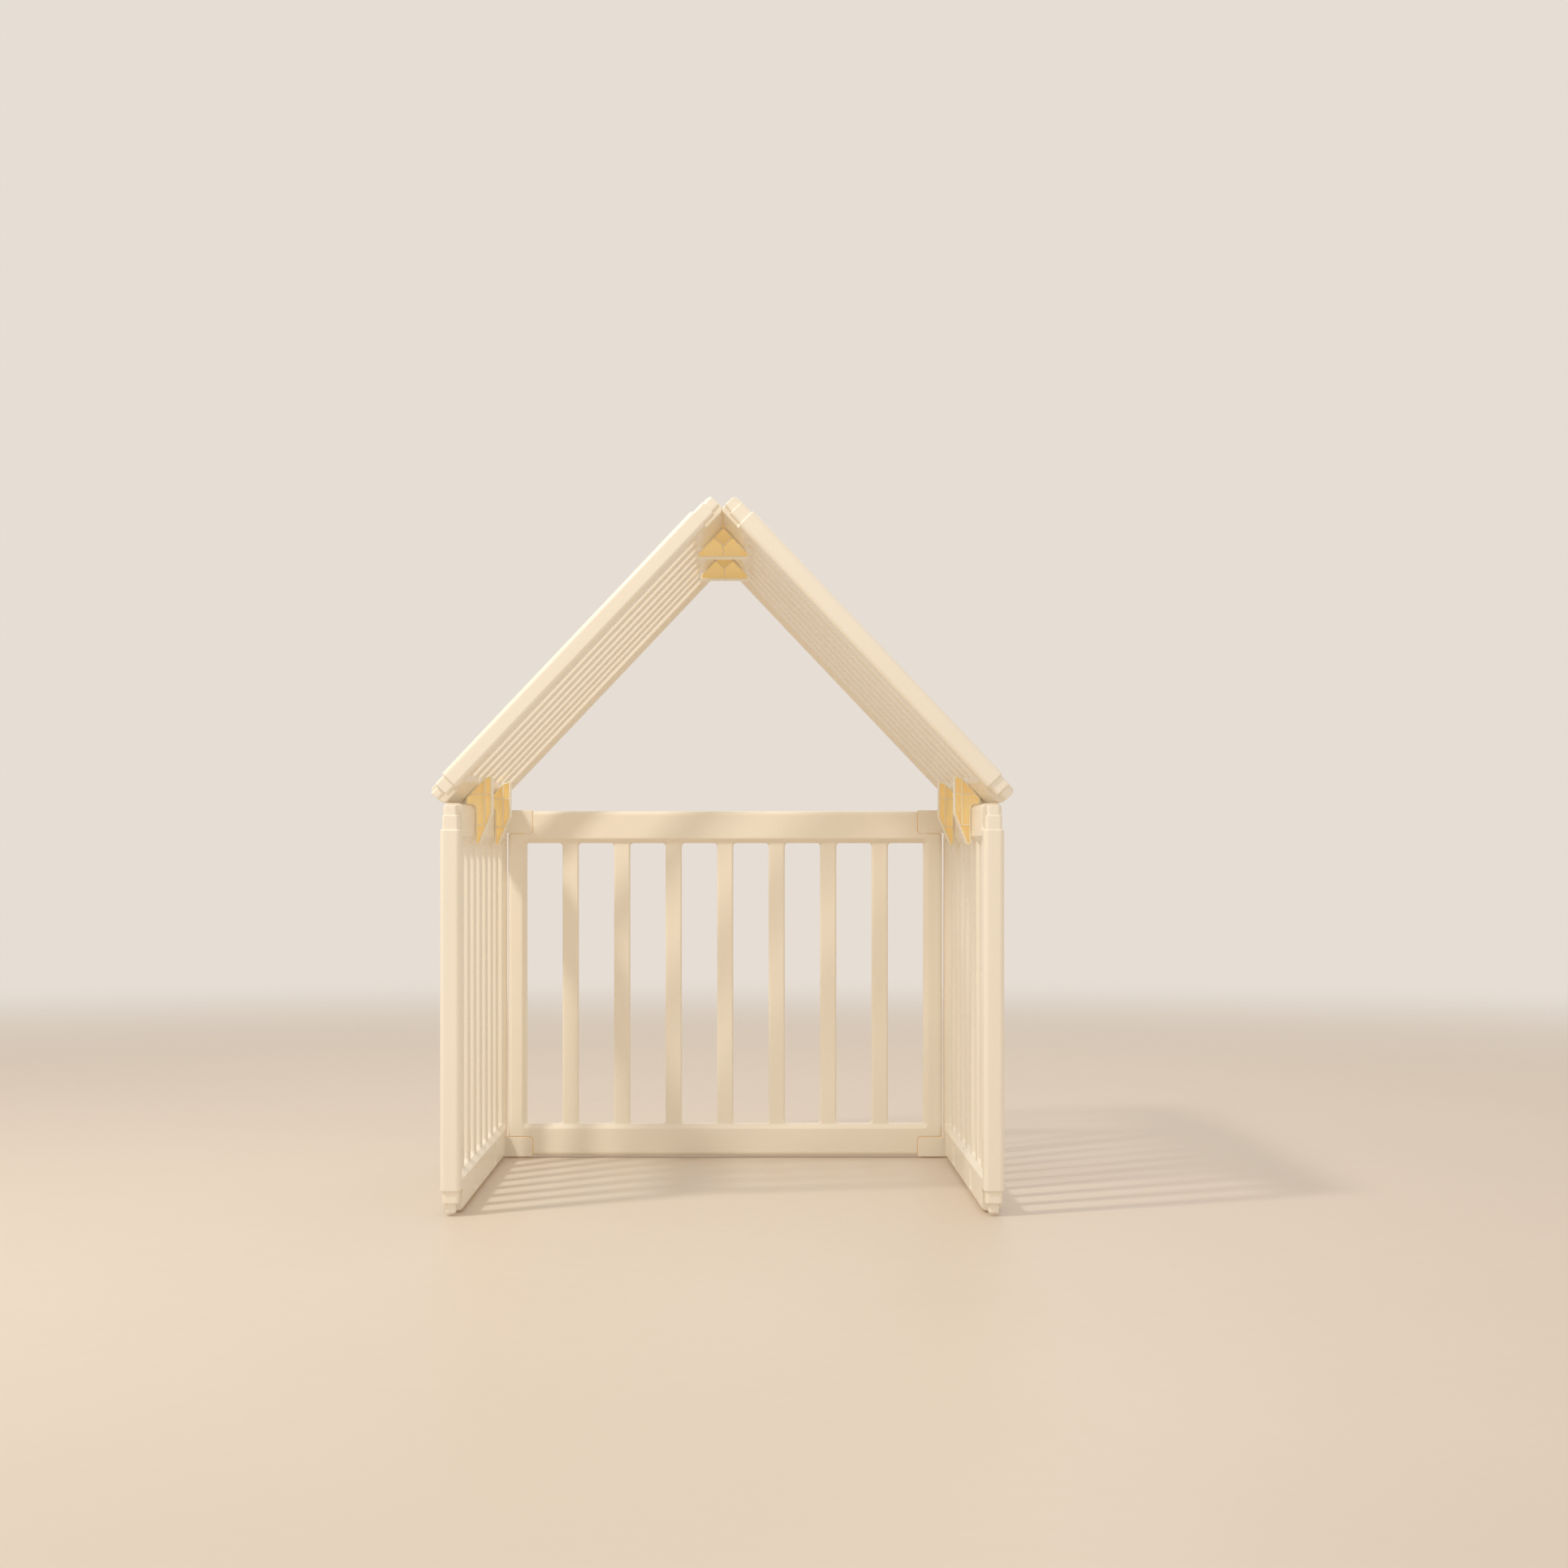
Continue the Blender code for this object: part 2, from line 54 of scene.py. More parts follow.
BACK_Y = (PANEL_LOW.y + PANEL_HIGH.y) / 2

# Roof. RIDGE_CLOSING moves the slopes' fine shapes together, so that no light shows at the seam
ROOF_PITCH = math.radians(46.5)
COS = math.cos(ROOF_PITCH)
SIN = math.sin(ROOF_PITCH)
TAN = math.tan(ROOF_PITCH)
ROOF_LIFT = 0.0022
CLEARANCE = 0.0003
RIDGE_CLOSING = 0.00013

# Panel: its frame, slats and the sloping border around them
EDGE_R = 0.0075
STILE = 0.0325
RAIL = 0.0555
SLATS = 7
SLAT_W = 0.0282
SLAT_T = 0.016
GAP_W = (PANEL_W - 2 * STILE - SLATS * SLAT_W) / (SLATS + 1)
GAP_CORNER_R = 0.006
STILE_CORNER_R = 0.002
LEDGE = 0.001
SLAT_EDGE_R = 0.004
BORDER_SLOPE = math.radians(45)
BORDER_FOOT_R = 0.003
BORDER_BROW_R = 0.004

# Panel: notches, pegs and sockets
NOTCH_W = 0.043
NOTCH_TOP = 0.039
NOTCH_BOTTOM = 0.033
NOTCH_R = 0.006
NOTCH_EDGE_R = 0.002
COLLAR_W = 0.024
COLLAR_R = 0.0045
COLLAR_ROOT = PANEL_T / 4
COLLAR_TOP = 0.0181
COLLAR_BOTTOM = 0.0153
STUB_R = 0.004
STUB_TOP = 0.0037
STUB_TOP_W = 0.019
STUB_BOTTOM = 0.0014
STUB_BOTTOM_W = 0.015
PEG_EDGE_R = 0.0014
ROUND_COLLAR_FLAT = PEG_EDGE_R / 10
SOCKET_W = 0.034
SOCKET_H = 0.034
SOCKET_DEPTH = 0.002
SOCKET_R = 0.005
SOCKET_EDGE_R = 0.0007
SOCKET_INSET = 0.0255
SOCKET_X = 0.155
BRACKET_PLACES = {"front": -SOCKET_X, "rear": SOCKET_X}

# Corner couplers
COUPLER_GROOVE = 0.0007
COUPLER_R = 0.0055
COUPLER_EDGE_R = 0.0012
COUPLER_ROOF = 0.005
COUPLER_FLOOR = 0.0029
BORE_R = COLLAR_W / 2 + CLEARANCE

# Roof brackets
BRACKET_DEPTH = 0.030
BRACKET_RIM = 0.0022
BRACKET_RIB = 0.0020
BRACKET_WEB = 0.003
BRACKET_EDGE_R = 0.0006
RIB_EDGE_R = 0.0004
FLOOR_R = 0.0002
POCKET_R = 0.0008
MOUTH_R = 0.0002
BRACKET_CORNER_R = 0.0015
RIB_SETBACK = 0.0006
RIB_STEP = 0.0003
PLUG_W = 0.026
PLUG_PROUD = 0.0016
PLUG_INSET = 0.003
PLUG_ROOT = 0.75
EAVE_LEG = 0.060
EAVE_FOOT_W = 0.006
EAVE_REACH = 0.0255
EAVE_BEND = 0.0125
EAVE_HEAD = 0.0465
EAVE_SEAT_IN = 0.0135
EAVE_SEAT_OUT = 0.0145
EAVE_FOOT_R = 0.001
EAVE_HOLLOW_R = -0.005
EAVE_HEAD_R = 0.003
EAVE_SHOULDER_R = 0.002
EAVE_BEND_R = 0.020
EAVE_RIB_X = 0.014
EAVE_RIB_HIGH = 0.0176
EAVE_RIB_LOW = -0.0296
RIDGE_HALF_W = 0.039
RIDGE_LIP = 0.007
RIDGE_DIAMOND = 0.0145
RIDGE_DIAMOND_Z = 0.030
RIDGE_PEAK_R = 0.006
RIDGE_FOOT_R = 0.001

# Pads on the floor
PAD_R = 0.003
PAD_EDGE_R = 0.0003

# Fineness of the rounds, and small amounts that keep the shapes sound
ARC_STEPS = 6
FILLET_STEPS = 3
PANEL_EDGE_STEPS = 8
BORE_SIDES = 48
ARC_SHARE = 0.4999
SMALLEST_R = 0.00005
OVERLAP = 0.00001
NEAR = 0.0002
SHARP_EDGE = math.radians(35)
SMOOTH_EDGE = math.radians(38)

# Plastic: sizes of its patterns, its scattering, and the painted amber light in its crevices
CLOUD_SCALE = 5.0
CLOUD_RANGE = (-0.4, 1.4)
SPECKLE_SCALE = 600.0
SPECKLE_STOPS = [(0.40, (0.985, 0.98, 0.97)), (0.60, (1.0, 1.0, 1.0))]
POLISH_SCALE = 40.0
WAVE_SCALE = 14.0
WAVE_HEIGHT = 0.0004
GRAIN_SCALE = 700.0
GRAIN_HEIGHT = 0.00001
PLASTIC_IOR = 1.47
SCATTER_COLOURS = (1.0, 0.55, 0.20)
SCATTER_REACH = 0.012
# Colour of the painted emission in crevices, which stands for light let through the plastic
PAINTED_CREVICE_GLOW = (0.96, 0.66, 0.32)
# Bands and samples that place the painted crevice light
RIM_BAND = 0.002
WEB_BAND = 0.007
OCCLUSION_SAMPLES = 16

# Rubber
DUST_SCALE = 120.0
RUBBER_POLISH_SCALE = 300.0
RUBBER_ROUGHNESS = (0.72, 0.95)
RUBBER_GRAIN_SCALE = 2200.0
RUBBER_GRAIN_HEIGHT = 0.00012

# Floor and background
FLOOR_SIZE = 14.0
FADE_START = 2.5
FADE_END = 7.0
FLOOR_DARK = (0.69, 0.60, 0.50)
FLOOR_PALE = (0.72, 0.63, 0.53)
FLOOR_CLOUD_SCALE = 1.5
FLOOR_POLISH_SCALE = 30.0
FLOOR_ROUGHNESS = (0.36, 0.48)
BACKGROUND_COLOUR = (0.86, 0.79, 0.72, 1.0)
BACKGROUND_STRENGTH = 0.92

# Lights and camera
MIDDLE = (0.0, 0.0, 0.5)
SUNNY = (1.0, 0.95, 0.87)
NEUTRAL = (1.0, 0.97, 0.93)
SENSOR = 36.0
LENS = 58.5
SHIFT_X = 0.0277
SHIFT_Y = 0.0450
CAMERA_PLACE = (0.0268, -4.088, 0.528)


# ---------------------------------------------------------------- mesh tools

WORKSHOP = bpy.data.collections.new("workshop")
bpy.context.scene.collection.children.link(WORKSHOP)


def solid(name, bm):
    """Turn a bmesh into an object."""
    mesh = bpy.data.meshes.new(name)
    bm.to_mesh(mesh)
    bm.free()
    obj = bpy.data.objects.new(name, mesh)
    WORKSHOP.objects.link(obj)
    return obj


def evaluated_mesh(obj):
    depsgraph = bpy.context.evaluated_depsgraph_get()
    return bpy.data.meshes.new_from_object(obj.evaluated_get(depsgraph))


def combine(target, tool, operation):
    """Apply a Boolean of two solids to the target, and drop the tool."""
    modifier = target.modifiers.new("combine", "BOOLEAN")
    modifier.operation = operation
    modifier.solver = "EXACT"
    modifier.object = tool
    mesh = evaluated_mesh(target)
    target.modifiers.clear()
    target.data = mesh
    bpy.data.objects.remove(tool, do_unlink=True)
    return target


def cut(target, tool):
    return combine(target, tool, "DIFFERENCE")


def join(target, tool):
    return combine(target, tool, "UNION")


def loft(name, rings):
    """Closed solid through rings of points that have equally many points."""
    bm = bmesh.new()
    loops = [[bm.verts.new(point) for point in ring] for ring in rings]
    count = len(loops[0])
    for lower, upper in zip(loops, loops[1:]):
        for i in range(count):
            j = (i + 1) % count
            bm.faces.new((lower[i], lower[j], upper[j], upper[i]))
    bm.faces.new(reversed(loops[0]))
    bm.faces.new(loops[-1])
    bmesh.ops.recalc_face_normals(bm, faces=bm.faces)
    return solid(name, bm)


def arc_corner(corner, before, after, radius, steps):
    """Points of an arc that rounds the corner of an outline, no larger than its sides allow."""
    here = Vector(corner)
    before = Vector(before) - here
    after = Vector(after) - here
    half = before.angle(after) / 2
    radius = min(abs(radius), ARC_SHARE * math.tan(half) * min(before.length, after.length))
    before.normalize()
    after.normalize()
    centre = here + (before + after).normalized() * radius / math.sin(half)
    start = here + before * radius / math.tan(half) - centre
    turn = start.angle_signed(here + after * radius / math.tan(half) - centre)
    return [centre + Matrix.Rotation(-turn * k / steps, 2) @ start for k in range(steps + 1)]


def rounded(corners, radii, steps=ARC_STEPS):
    """Outline with arcs for corners. Its number of points depends only on the corners."""
    points = []
    count = len(corners)
    for i, (corner, radius) in enumerate(zip(corners, radii)):
        points += arc_corner(corner, corners[i - 1], corners[(i + 1) % count], radius, steps)
    return points


def inset(corners, distance):
    """Move every side of a counter-clockwise outline inwards."""
    moved = []
    count = len(corners)
    for i in range(count):
        here = Vector(corners[i])
        along_in = (here - Vector(corners[i - 1])).normalized()
        along_out = (Vector(corners[(i + 1) % count]) - here).normalized()
        normal_in = Vector((-along_in.y, along_in.x))
        normal_out = Vector((-along_out.y, along_out.x))
        middle = (normal_in + normal_out).normalized()
        moved.append(here + middle * distance / middle.dot(normal_in))
    return moved


def ring_y(outline, y):
    """Stand an outline up in the XZ plane at depth y."""
    return [(p[0], y, p[1]) for p in outline]


def ring_z(outline, z):
    return [(p[0], p[1], z) for p in outline]


def rectangle(x0, x1, z0, z1):
    return [(x0, z0), (x1, z0), (x1, z1), (x0, z1)]


def fillet_steps(radius, steps=FILLET_STEPS):
    """Pairs of inset and rise along a quarter round, from the side wall to the end face."""
    turns = [math.pi / 2 * k / steps for k in range(steps + 1)]
    return [(radius * (1 - math.cos(t)), radius * math.sin(t)) for t in turns]


def shrink(radii, distance, smallest):
    """Radii of an outline's corners after its sides move inwards. Those of hollow corners grow."""
    return [radius - distance if radius < 0 else max(radius - distance, smallest) for radius in radii]


def soft_prism(name, corners, radii, low, high, edge, ring, steps=ARC_STEPS,
               edge_steps=FILLET_STEPS):
    """Extruded outline whose two end edges are rounded by edge."""
    rises = fillet_steps(edge, edge_steps)
    ends = [(shift, low + edge - rise) for shift, rise in reversed(rises)]
    ends += [(shift, high - edge + rise) for shift, rise in rises]
    rings = []
    for shift, level in ends:
        tight = shrink(radii, shift, SMALLEST_R)
        rings.append(ring(rounded(inset(corners, shift), tight, steps), level))
    return loft(name, rings)


# ---------------------------------------------------------------- panel


def panel_body():
    """Plate with rounded edges, centred on the origin: width along X, thickness along Y."""
    corners = rectangle(-PANEL_W / 2, PANEL_W / 2, -PANEL_H / 2, PANEL_H / 2)
    return soft_prism("panel", corners, [EDGE_R] * 4, -PANEL_T / 2, PANEL_T / 2, EDGE_R, ring_y,
                      edge_steps=PANEL_EDGE_STEPS)


def border_profile():
    """Run and rise of the sloping border, from the slats' face up to the frame's face."""
    rise = (PANEL_T - SLAT_T) / 2
    foot = BORDER_FOOT_R * math.tan(BORDER_SLOPE / 2)
    brow = BORDER_BROW_R * math.tan(BORDER_SLOPE / 2)
    points = []
    for k in range(ARC_STEPS + 1):
        turn = BORDER_SLOPE * k / ARC_STEPS
        points.append((BORDER_FOOT_R * math.sin(turn) - foot, BORDER_FOOT_R * (1 - math.cos(turn))))
    for k in range(ARC_STEPS + 1):
        turn = BORDER_SLOPE * (1 - k / ARC_STEPS)
        points.append((rise + brow - BORDER_BROW_R * math.sin(turn),
                       rise - BORDER_BROW_R * (1 - math.cos(turn))))
    return points


def border_tool(side):
    """Tool for the recess around the slats on one face."""
    half_w = PANEL_W / 2 - STILE + LEDGE
    half_h = PANEL_H / 2 - RAIL + LEDGE
    profile = border_profile()
    start, end = profile[0][0], profile[-1][0]
    levels = [(start, -OVERLAP)] + profile[1:] + [(end, PANEL_T / 2)]
    rings = []
    for run, rise in levels:
        corners = rectangle(-half_w - run, half_w + run, -half_h - run, half_h + run)
        radius = STILE_CORNER_R + LEDGE + max(run, 0)
        rings.append(ring_y(rounded(corners, [radius] * 4), side * (SLAT_T / 2 + rise)))
    return loft("border", rings)


def gap_tool(left, right, left_is_stile, right_is_stile):
    """Tool for one gap: it flares at both faces, which rounds the slats' edges."""
    left_r = STILE_CORNER_R if left_is_stile else GAP_CORNER_R
    right_r = STILE_CORNER_R if right_is_stile else GAP_CORNER_R
    radii = [left_r, right_r, right_r, left_r]
    half_h = PANEL_H / 2 - RAIL
    straight = SLAT_T / 2 - SLAT_EDGE_R
    flares = [(straight + rise, shift) for shift, rise in fillet_steps(SLAT_EDGE_R, ARC_STEPS)]
    flares.append((PANEL_T, SLAT_EDGE_R))
    levels = [(-depth, flare) for depth, flare in reversed(flares)] + flares
    rings = []
    for depth, flare in levels:
        small = flare * LEDGE / SLAT_EDGE_R
        x0 = left - (small if left_is_stile else flare)
        x1 = right + (small if right_is_stile else flare)
        outline = rounded(rectangle(x0, x1, -half_h - small, half_h + small), radii)
        rings.append(ring_y(outline, depth))
    return loft("gap", rings)


def notch_tool(end, top):
    """Tool for one corner notch, square apart from its inner corner."""
    inner = end * (PANEL_W / 2 - NOTCH_W)
    outer = end * (PANEL_W / 2 + NOTCH_W)
    x0, x1 = sorted((inner, outer))
    if top:
        z0, z1 = PANEL_H / 2 - NOTCH_TOP, PANEL_H / 2 + NOTCH_TOP
    else:
        z0, z1 = -PANEL_H / 2 - NOTCH_BOTTOM, -PANEL_H / 2 + NOTCH_BOTTOM
    outline = rounded(rectangle(x0, x1, z0, z1), [NOTCH_R] * 4)
    return loft("notch", [ring_y(outline, -PANEL_T), ring_y(outline, PANEL_T)])


def soften_notches(panel):
    """Round the edges where the notches meet the panel's faces and edges."""
    bm = bmesh.new()
    bm.from_mesh(panel.data)
    picked = []
    for edge in bm.edges:
        if len(edge.link_faces) != 2 or edge.calc_face_angle() < SHARP_EDGE:
            continue
        in_x = all(abs(v.co.x) > PANEL_W / 2 - NOTCH_W - NEAR for v in edge.verts)
        in_top = all(v.co.z > PANEL_H / 2 - NOTCH_TOP - NEAR for v in edge.verts)
        in_bottom = all(v.co.z < -PANEL_H / 2 + NOTCH_BOTTOM + NEAR for v in edge.verts)
        if in_x and (in_top or in_bottom):
            picked.append(edge)
    bmesh.ops.bevel(bm, geom=picked, offset=NOTCH_EDGE_R, segments=FILLET_STEPS, profile=0.5,
                    affect="EDGES")
    bm.to_mesh(panel.data)
    bm.free()


def socket_tool(x, z):
    """Tool for one bracket socket in the +Y face, with softened edges."""
    levels = [(-SOCKET_EDGE_R, PANEL_T / 2 - SOCKET_DEPTH), (0, PANEL_T / 2 - SOCKET_EDGE_R),
              (SOCKET_EDGE_R, PANEL_T / 2), (SOCKET_EDGE_R, PANEL_T)]
    rings = []
    for grow, depth in levels:
        half_w = SOCKET_W / 2 - SOCKET_EDGE_R + grow
        half_h = SOCKET_H / 2 - SOCKET_EDGE_R + grow
        outline = rounded(rectangle(x - half_w, x + half_w, z - half_h, z + half_h), [SOCKET_R] * 4)
        rings.append(ring_y(outline, depth))
    return loft("socket", rings)


def peg(x, notch_z, collar_z, stub_z, stub_w, held):
    """Stepped peg on a post's end: a collar, round where a coupler holds it, then a square stub."""
    outwards = math.copysign(1, collar_z - notch_z)
    half = COLLAR_W / 2
    radius = half - ROUND_COLLAR_FLAT if held else COLLAR_R
    collar = sorted((notch_z - outwards * COLLAR_ROOT, collar_z))
    obj = soft_prism("collar", rectangle(x - half, x + half, -half, half), [radius] * 4,
                     collar[0], collar[1], PEG_EDGE_R, ring_z)
    stub = sorted((collar_z - outwards * COLLAR_R, stub_z))
    half = stub_w / 2
    radius = half - PEG_EDGE_R if held else STUB_R
    return join(obj, soft_prism("stub", rectangle(x - half, x + half, -half, half), [radius] * 4,
                                stub[0], stub[1], PEG_EDGE_R, ring_z))


def make_plain_panel():
    """The panel without its pegs."""
    panel = panel_body()
    for side in (-1, 1):
        cut(panel, border_tool(side))
    for i in range(SLATS + 1):
        left = -PANEL_W / 2 + STILE + i * (GAP_W + SLAT_W)
        cut(panel, gap_tool(left, left + GAP_W, i == 0, i == SLATS))
    for end in (-1, 1):
        for top in (False, True):
            cut(panel, notch_tool(end, top))
    soften_notches(panel)
    for x in (-SOCKET_X, SOCKET_X):
        for z in (SOCKET_INSET - PANEL_H / 2, PANEL_H / 2 - SOCKET_INSET):
            cut(panel, socket_tool(x, z))
    return panel


def add_pegs(panel, held_ends):
    """Copy of the plain panel with its four pegs. held_ends are the ends that couplers hold."""
    obj = bpy.data.objects.new("panel", panel.data.copy())
    WORKSHOP.objects.link(obj)
    top, bottom = PANEL_H / 2, -PANEL_H / 2
    for end in (-1, 1):
        x = end * (PANEL_W - PANEL_T) / 2
        held = end in held_ends
        join(obj, peg(x, top - NOTCH_TOP, top - COLLAR_TOP, top - STUB_TOP, STUB_TOP_W, held))
        join(obj, peg(x, bottom + NOTCH_BOTTOM, bottom + COLLAR_BOTTOM, bottom + STUB_BOTTOM,
                      STUB_BOTTOM_W, held))
    return take_mesh(obj)


def take_mesh(obj):
    """Shade a finished shape, keep its mesh and drop its object."""
    mesh = obj.data
    mesh.shade_smooth()
    mesh.set_sharp_from_angle(angle=SMOOTH_EDGE)
    bpy.data.objects.remove(obj, do_unlink=True)
    return mesh


# ---------------------------------------------------------------- couplers


def coupler_outline(inner, half):
    """Outline from above: square towards the panel's middle, round at the eye."""
    corners = rectangle(inner, WALL_X + half, -half, half)
    return rounded(corners, [COUPLER_EDGE_R, half, half, COUPLER_EDGE_R], 2 * ARC_STEPS)


def bore_tool(x, low, high):
    """Tool for the bore of one peg."""
    turns = [2 * math.pi * (k + 0.5) / BORE_SIDES for k in range(BORE_SIDES)]
    outline = [(x + BORE_R * math.cos(turn), BORE_R * math.sin(turn)) for turn in turns]
    return loft("bore", [ring_z(outline, low), ring_z(outline, high)])


def coupler(side, level):
    """Corner coupler: a block with one rounded corner that ends in an eye over the wall's peg."""
    upper = level == "upper"
    low, high = (bound.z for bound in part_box(f"back_left_{level}_coupler"))
    inner = PANEL_W / 2 - NOTCH_W + COUPLER_GROOVE
    levels = []
    for shift, rise in fillet_steps(COUPLER_EDGE_R):
        levels.append((COUPLER_EDGE_R - rise, shift, shift))
    for shift, rise in reversed(fillet_steps(COUPLER_R, 2 * ARC_STEPS)):
        depth = COUPLER_R - rise
        soft = 0.0
        if depth < COUPLER_EDGE_R:
            soft = COUPLER_EDGE_R - math.sqrt(COUPLER_EDGE_R ** 2 - (COUPLER_EDGE_R - depth) ** 2)
        levels.append((high - low - depth, shift, soft))
    rings = []
    for height, run, soft in sorted(set(levels)):
        z = high - height if upper else low + height
        rings.append(ring_z(coupler_outline(inner + run, PANEL_T / 2 - soft), z))
    obj = loft("coupler", rings)
    bore = (low - BORE_R, high - COUPLER_ROOF) if upper else (low + COUPLER_FLOOR, high + BORE_R)
    for x in ((PANEL_W - PANEL_T) / 2, WALL_X):
        cut(obj, bore_tool(x, *bore))
    obj.data.transform(Matrix.Translation((0, BACK_Y, 0)))
    if side < 0:
        mirror(obj)
    return take_mesh(obj)


def mirror(obj):
    """Flip a shape to the left side, faces still pointing out."""
    bm = bmesh.new()
    bm.from_mesh(obj.data)
    bmesh.ops.scale(bm, vec=(-1, 1, 1), verts=bm.verts)
    bmesh.ops.reverse_faces(bm, faces=bm.faces)
    bm.to_mesh(obj.data)
    bm.free()


# ---------------------------------------------------------------- brackets


def eave_corner():
    """Sharp inner eave corner of the right slope, which stands just above the wall's edge."""
    ridge_x = CLEARANCE / 2 - EDGE_R * (COS + SIN - 1)
    eave_x = ridge_x + PANEL_H * COS
    wall_arc = Vector((WALL_X + PANEL_T / 2 - EDGE_R, WALL_TOP - EDGE_R))
    roof_arc_x = eave_x + EDGE_R * (SIN - COS)
    reach = 2 * EDGE_R + CLEARANCE
    roof_arc_z = wall_arc.y + math.sqrt(reach ** 2 - (roof_arc_x - wall_arc.x) ** 2)
    return eave_x, roof_arc_z - EDGE_R * (SIN + COS) + ROOF_LIFT


EAVE_X, EAVE_Z = eave_corner()


def slope_z(x, off=0.0):
    """Height of the right slope's inner face at x, moved down by off along its normal."""
    return EAVE_Z + (EAVE_X - x) * TAN - off / COS


def slope_point(up, out):
    """Point of the right slope: up from its eave corner, and out from its inner face."""
    return EAVE_X - up * COS + out * SIN, EAVE_Z + up * SIN + out * COS


def pocket_tool(pocket, radii, web_y, open_y):
    """Tool for one pocket of a tray, with a soft floor and a flare at its mouth."""
    towards = math.copysign(1, open_y - web_y)
    levels = []
    for shift, rise in reversed(fillet_steps(FLOOR_R)):
        levels.append((FLOOR_R - rise, shift))
    for shift, rise in fillet_steps(BRACKET_EDGE_R):
        levels.append((abs(open_y - web_y) - BRACKET_EDGE_R + rise, -shift))
    levels.append((abs(open_y - web_y) + FLOOR_R, -BRACKET_EDGE_R))
    rings = []
    for depth, shift in sorted(levels):
        tight = shrink(radii, shift, MOUTH_R)
        rings.append(ring_y(rounded(inset(pocket, shift), tight), web_y + towards * depth))
    return loft("pocket", rings)


def make_tray(corners, radii, y):
    """Outline with a rim and a middle web, open towards the front and the back."""
    low, high = y - BRACKET_DEPTH / 2, y + BRACKET_DEPTH / 2
    tray = soft_prism("tray", corners, radii, low, high, BRACKET_EDGE_R, ring_y)
    pocket = inset(corners, BRACKET_RIM)
    inner = shrink(radii, BRACKET_RIM, POCKET_R)
    cut(tray, pocket_tool(pocket, inner, y - BRACKET_WEB / 2, low))
    cut(tray, pocket_tool(pocket, inner, y + BRACKET_WEB / 2, high))
    return tray


def add_ribs(tray, ribs, y):
    """Join ribs to a tray. Each is a little shorter than the one before, so that none is flush."""
    for i, (start, end) in enumerate(ribs):
        half = BRACKET_DEPTH / 2 - RIB_SETBACK - i * RIB_STEP
        start, end = Vector(start), Vector(end)
        across = (end - start).normalized().orthogonal() * BRACKET_RIB / 2
        corners = [start - across, end - across, end + across, start + across]
        if (end - start).cross(across) < 0:
            corners.reverse()
        rib = soft_prism("rib", corners, [RIB_EDGE_R / 2] * 4, y - half, y + half, RIB_EDGE_R,
                         ring_y, steps=1)
        join(tray, rib)


def plug(corners, y):
    """Plug of a bracket that reaches into a socket."""
    return soft_prism("plug", corners, [RIB_EDGE_R] * 4, y - PLUG_W / 2, y + PLUG_W / 2,
                      RIB_EDGE_R, ring_y, steps=2)


def slope_plug(y, start, end):
    """Plug into the right slope's inner face, between two distances up the slope."""
    root = -CLEARANCE - BRACKET_RIM * PLUG_ROOT
    corners = [slope_point(start, PLUG_PROUD), slope_point(end, PLUG_PROUD),
               slope_point(end, root), slope_point(start, root)]
    return plug(corners, y)


def eave_bracket(side, y):
    """Bracket between a wall's top rail and the lower rail of its slope."""
    face = WALL_FACE - CLEARANCE
    reach = face - EAVE_REACH
    seat_in = WALL_FACE - EAVE_SEAT_IN
    seat_out = WALL_FACE + EAVE_SEAT_OUT
    corners = [
        (face, WALL_TOP - EAVE_LEG),
        (face, WALL_TOP + CLEARANCE),
        (seat_out, WALL_TOP + CLEARANCE),
        (seat_out, slope_z(seat_out, CLEARANCE)),
        (seat_in, slope_z(seat_in, CLEARANCE)),
        (reach, WALL_TOP + EAVE_HEAD),
        (reach, WALL_TOP - EAVE_BEND),
        (face - EAVE_FOOT_W, WALL_TOP - EAVE_LEG),
    ]
    radii = [EAVE_FOOT_R, EAVE_HOLLOW_R, BRACKET_CORNER_R, BRACKET_CORNER_R, EAVE_HEAD_R,
             EAVE_SHOULDER_R, EAVE_BEND_R, BRACKET_CORNER_R]
    tray = make_tray(corners, radii, y)
    rib_x = face - EAVE_RIB_X
    middle = BRACKET_RIM / 2
    high_z = WALL_TOP + EAVE_RIB_HIGH
    low_z = WALL_TOP + EAVE_RIB_LOW
    high_end = EAVE_X - (high_z - EAVE_Z) / TAN - middle / SIN
    low_share = (EAVE_LEG + EAVE_RIB_LOW) / (EAVE_LEG - EAVE_BEND)
    low_end = face - EAVE_FOOT_W - (EAVE_REACH - EAVE_FOOT_W) * low_share + middle
    ribs = [
        ((rib_x, low_z), (rib_x, slope_z(rib_x, CLEARANCE + middle))),
        ((reach + middle, high_z), (high_end, high_z)),
        ((low_end, low_z), (face - middle, low_z)),
    ]
    add_ribs(tray, ribs, y)
    plug_z = WALL_TOP - SOCKET_INSET
    half = SOCKET_H / 2 - PLUG_INSET
    join(tray, plug(rectangle(face - BRACKET_RIM * PLUG_ROOT, WALL_FACE + PLUG_PROUD,
                              plug_z - half, plug_z + half), y))
    plug_start = (EAVE_X - seat_out) / COS + PLUG_INSET
    join(tray, slope_plug(y, plug_start, SOCKET_INSET + half))
    if side < 0:
        mirror(tray)
    return take_mesh(tray)


